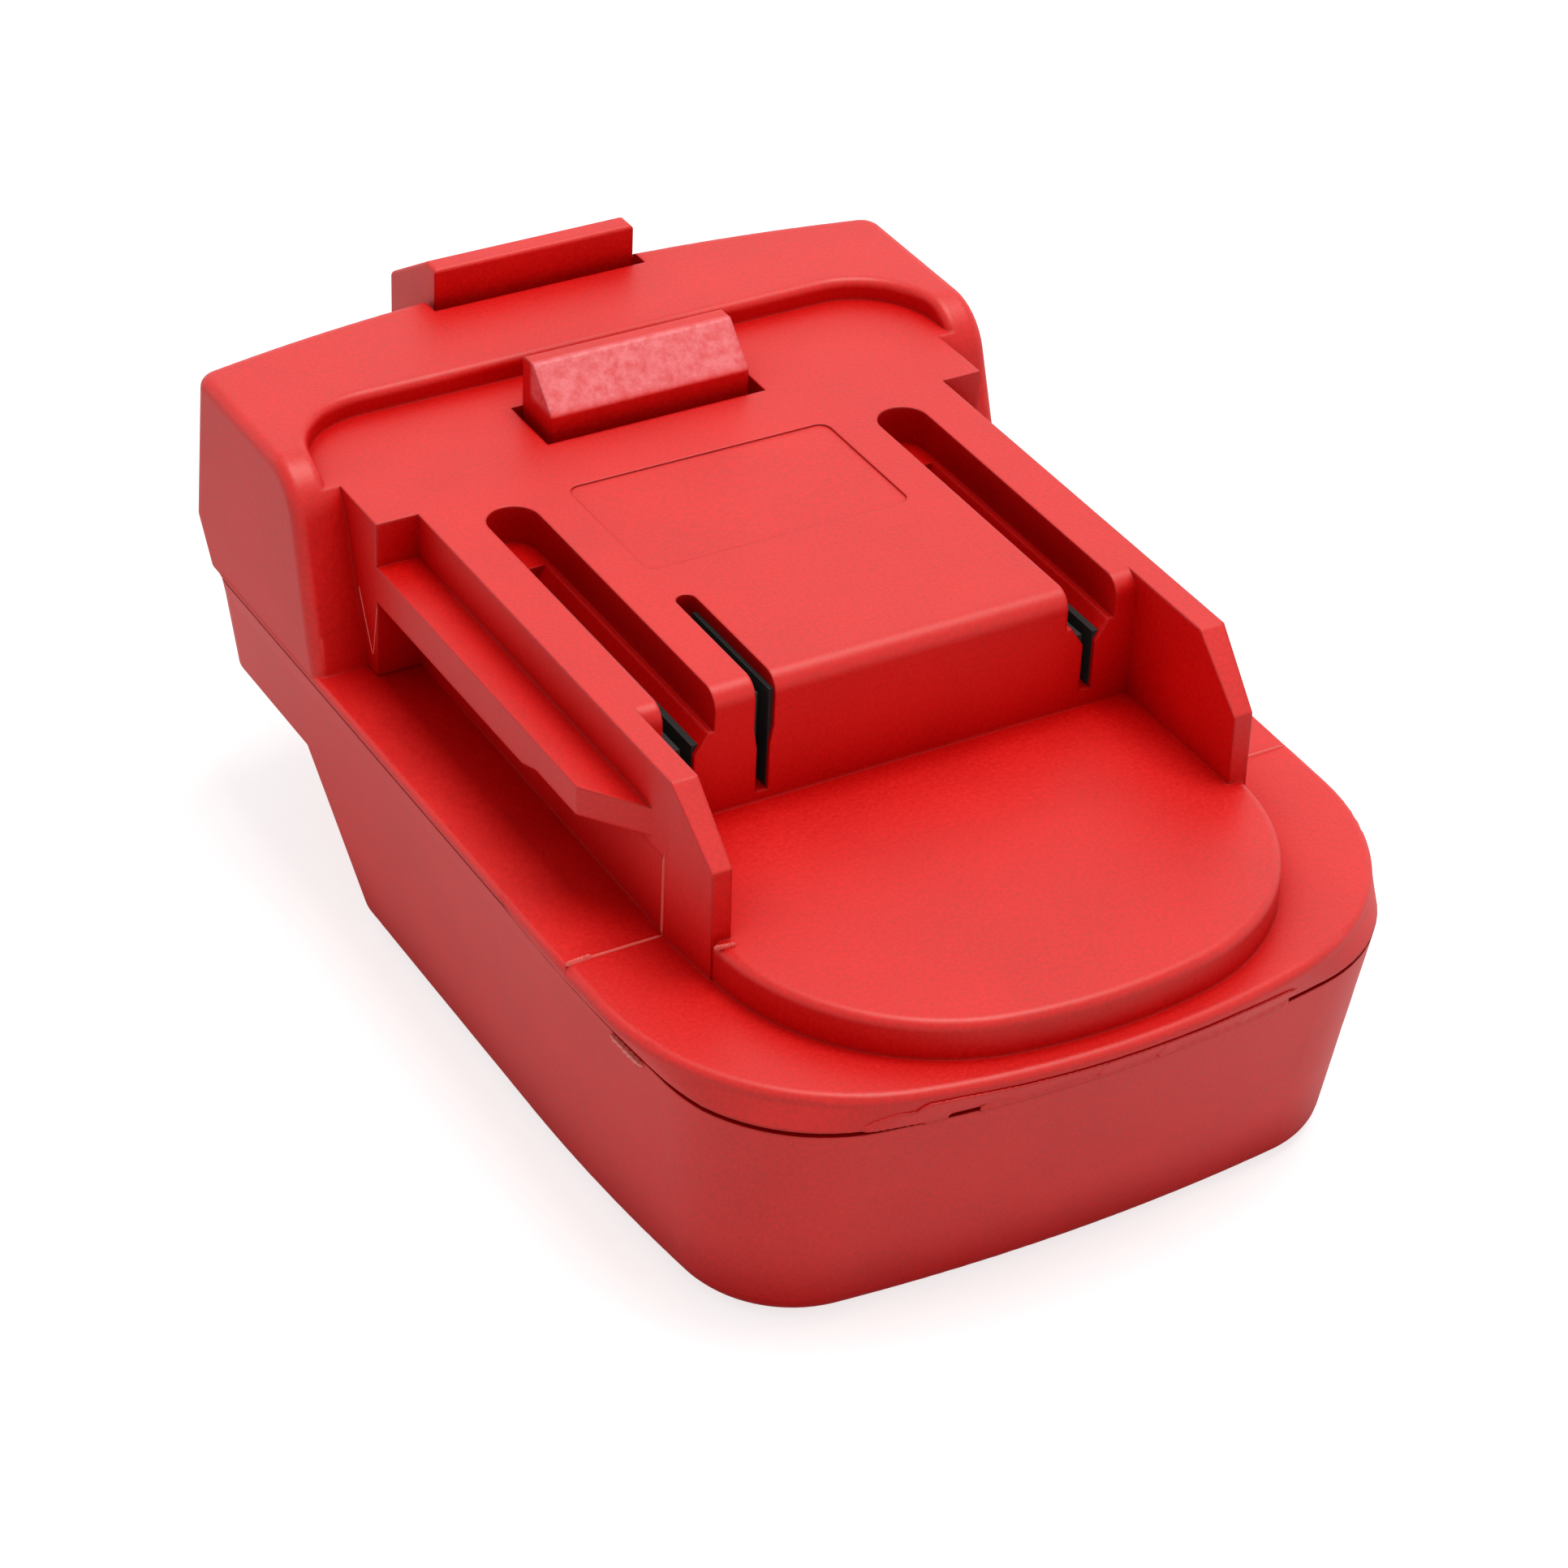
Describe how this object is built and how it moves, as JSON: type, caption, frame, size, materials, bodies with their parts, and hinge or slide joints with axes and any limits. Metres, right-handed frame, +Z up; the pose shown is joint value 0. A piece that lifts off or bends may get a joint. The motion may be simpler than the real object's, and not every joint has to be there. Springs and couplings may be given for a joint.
{
  "type": "tool battery adapter",
  "caption": "Slide-on battery adapter: rail head with slotted terminals for the tool, sprung catch with push button, and an open bay below for a donor battery.",
  "frame": {"origin": "centre of the bounding box on the underside, where the foot stands", "axes": "+X across the part, +Y from the nose to the release button, +Z up from the foot to the rail head"},
  "size_m": [0.0764, 0.121, 0.0494],
  "materials": {
    "red_plastic": "fine matte grain, moulded",
    "black_plastic": "matte moulded",
    "contact_metal": "tinned copper alloy sheet",
    "spring_steel": "drawn wire",
    "screw_steel": "dark zinc",
    "red_lead": "soft insulation",
    "black_lead": "soft insulation",
    "yellow_lead": "soft insulation",
    "solder": "satin solder"
  },
  "bodies": {
    "housing": {"top_cover": "red_plastic", "foot_housing": "red_plastic", "latch_spring_left": "spring_steel", "latch_spring_right": "spring_steel", "positive_clip": "contact_metal", "negative_clip": "contact_metal", "signal_clip": "contact_metal", "clip_holder": "black_plastic", "clip_holder_screws": "screw_steel", "blade_block": "black_plastic", "blade_block_screws": "screw_steel", "positive_blade": "contact_metal", "negative_blade": "contact_metal", "signal_blade": "contact_metal", "positive_wire": "red_lead", "negative_wire": "black_lead", "signal_wire": "yellow_lead", "solder_joints": "solder", "housing_screws": "screw_steel"},
    "latch": {"release_latch": "red_plastic"}
  },
  "joints": [
    {"name": "latch_slide", "type": "slide", "parent": "housing", "child": "latch", "axis": [0, 0, -1], "range_m": [0, 0.0058], "stiffness_N_per_m": 1200, "springref_m": -0.003, "deforming": ["latch_spring_left", "latch_spring_right"]}
  ]
}
